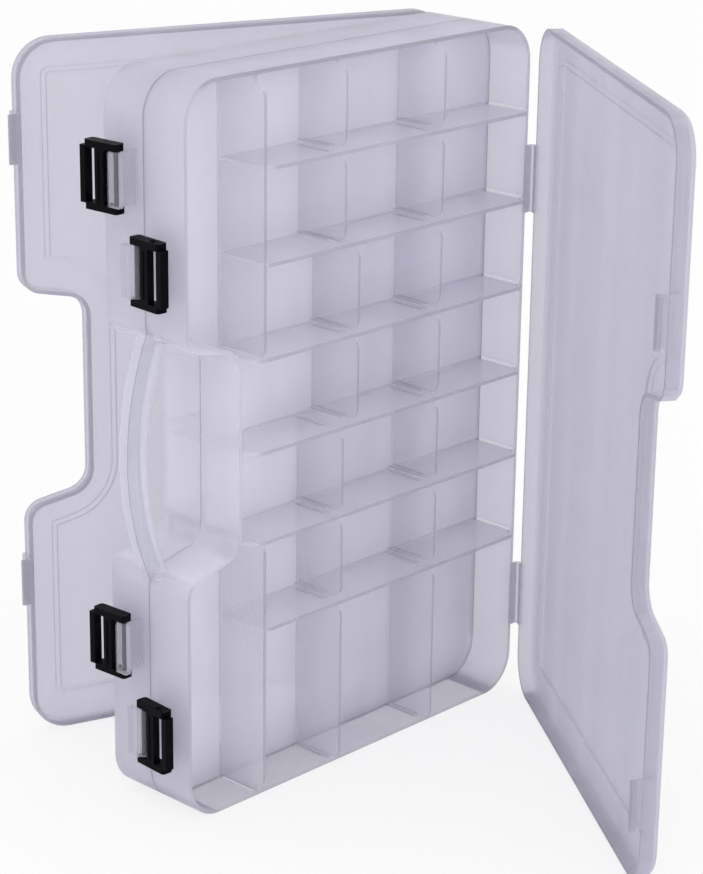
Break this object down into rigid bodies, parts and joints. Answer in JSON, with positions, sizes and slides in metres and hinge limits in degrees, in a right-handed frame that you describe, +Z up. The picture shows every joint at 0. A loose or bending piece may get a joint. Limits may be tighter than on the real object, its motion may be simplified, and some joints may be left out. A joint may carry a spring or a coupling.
{
  "type": "double-sided tackle box",
  "caption": "Clear double-sided tackle box: shelved trays back to back with hinged lids, snap latches, loose dividers and a bowed carrying grip.",
  "frame": {"origin": "middle of the bottom end of the two joined trays, on the plane that the box stands on, in the seam between the trays", "axes": "+Z up along the box's length, +X from the handle side to the hinge side, +Y from the front tray to the back tray"},
  "size_m": [0.2084, 0.2724, 0.29],
  "materials": {
    "clear_tray": "clear moulded polypropylene with a faint blue-violet tint",
    "clear_lid": "clear moulded polypropylene with a faint blue-violet tint",
    "clear_divider": "thin clear moulded polypropylene",
    "black_latch": "black moulded plastic, satin gloss"
  },
  "bodies": {
    "case": {"front_tray": "clear_tray", "back_tray": "clear_tray"},
    "front_lid": {"front_lid": "clear_lid"},
    "back_lid": {"back_lid": "clear_lid"},
    "front_lower_latch": {"front_lower_latch": "black_latch"},
    "front_upper_latch": {"front_upper_latch": "black_latch"},
    "back_upper_latch": {"back_upper_latch": "black_latch"},
    "back_lower_latch": {"back_lower_latch": "black_latch"},
    "divider_01": {"divider_01": "clear_divider"},
    "divider_02": {"divider_02": "clear_divider"},
    "divider_03": {"divider_03": "clear_divider"},
    "divider_04": {"divider_04": "clear_divider"},
    "divider_05": {"divider_05": "clear_divider"},
    "divider_06": {"divider_06": "clear_divider"},
    "divider_07": {"divider_07": "clear_divider"},
    "divider_08": {"divider_08": "clear_divider"},
    "divider_09": {"divider_09": "clear_divider"},
    "divider_10": {"divider_10": "clear_divider"},
    "divider_11": {"divider_11": "clear_divider"},
    "divider_12": {"divider_12": "clear_divider"},
    "tall_divider_1": {"tall_divider_1": "clear_divider"},
    "tall_divider_2": {"tall_divider_2": "clear_divider"}
  },
  "joints": [
    {"name": "front_lid_hinge", "type": "hinge", "parent": "case", "child": "front_lid", "pos_m": [0.0986, -0.02155, 0.145], "axis": [0, 0, 1], "range_deg": [-54, 126]},
    {"name": "back_lid_hinge", "type": "hinge", "parent": "case", "child": "back_lid", "pos_m": [0.0986, 0.02155, 0.145], "axis": [0, 0, -1], "range_deg": [-19, 161]},
    {"name": "front_lower_latch_pivot", "type": "hinge", "parent": "case", "child": "front_lower_latch", "pos_m": [-0.1033, -0.0053, 0.0375], "axis": [0, 0, -1], "range_deg": [-20.5, 96]},
    {"name": "front_upper_latch_pivot", "type": "hinge", "parent": "case", "child": "front_upper_latch", "pos_m": [-0.1033, -0.0053, 0.2202], "axis": [0, 0, -1], "range_deg": [-20.5, 96]},
    {"name": "back_upper_latch_pivot", "type": "hinge", "parent": "case", "child": "back_upper_latch", "pos_m": [-0.1033, 0.0053, 0.2525], "axis": [0, 0, 1], "range_deg": [-20.5, 96]},
    {"name": "back_lower_latch_pivot", "type": "hinge", "parent": "case", "child": "back_lower_latch", "pos_m": [-0.1033, 0.0053, 0.0698], "axis": [0, 0, 1], "range_deg": [-20.5, 96]},
    {"name": "divider_01_slide", "type": "slide", "parent": "case", "child": "divider_01", "axis": [0, -1, 0], "range_m": [0, 0.03]},
    {"name": "divider_02_slide", "type": "slide", "parent": "case", "child": "divider_02", "axis": [0, -1, 0], "range_m": [0, 0.03]},
    {"name": "divider_03_slide", "type": "slide", "parent": "case", "child": "divider_03", "axis": [0, -1, 0], "range_m": [0, 0.03]},
    {"name": "divider_04_slide", "type": "slide", "parent": "case", "child": "divider_04", "axis": [0, -1, 0], "range_m": [0, 0.03]},
    {"name": "divider_05_slide", "type": "slide", "parent": "case", "child": "divider_05", "axis": [0, -1, 0], "range_m": [0, 0.03]},
    {"name": "divider_06_slide", "type": "slide", "parent": "case", "child": "divider_06", "axis": [0, -1, 0], "range_m": [0, 0.03]},
    {"name": "divider_07_slide", "type": "slide", "parent": "case", "child": "divider_07", "axis": [0, -1, 0], "range_m": [0, 0.03]},
    {"name": "divider_08_slide", "type": "slide", "parent": "case", "child": "divider_08", "axis": [0, -1, 0], "range_m": [0, 0.03]},
    {"name": "divider_09_slide", "type": "slide", "parent": "case", "child": "divider_09", "axis": [0, -1, 0], "range_m": [0, 0.03]},
    {"name": "divider_10_slide", "type": "slide", "parent": "case", "child": "divider_10", "axis": [0, -1, 0], "range_m": [0, 0.03]},
    {"name": "divider_11_slide", "type": "slide", "parent": "case", "child": "divider_11", "axis": [0, -1, 0], "range_m": [0, 0.03]},
    {"name": "divider_12_slide", "type": "slide", "parent": "case", "child": "divider_12", "axis": [0, -1, 0], "range_m": [0, 0.03]},
    {"name": "tall_divider_1_slide", "type": "slide", "parent": "case", "child": "tall_divider_1", "axis": [0, -1, 0], "range_m": [0, 0.03]},
    {"name": "tall_divider_2_slide", "type": "slide", "parent": "case", "child": "tall_divider_2", "axis": [0, -1, 0], "range_m": [0, 0.03]}
  ]
}
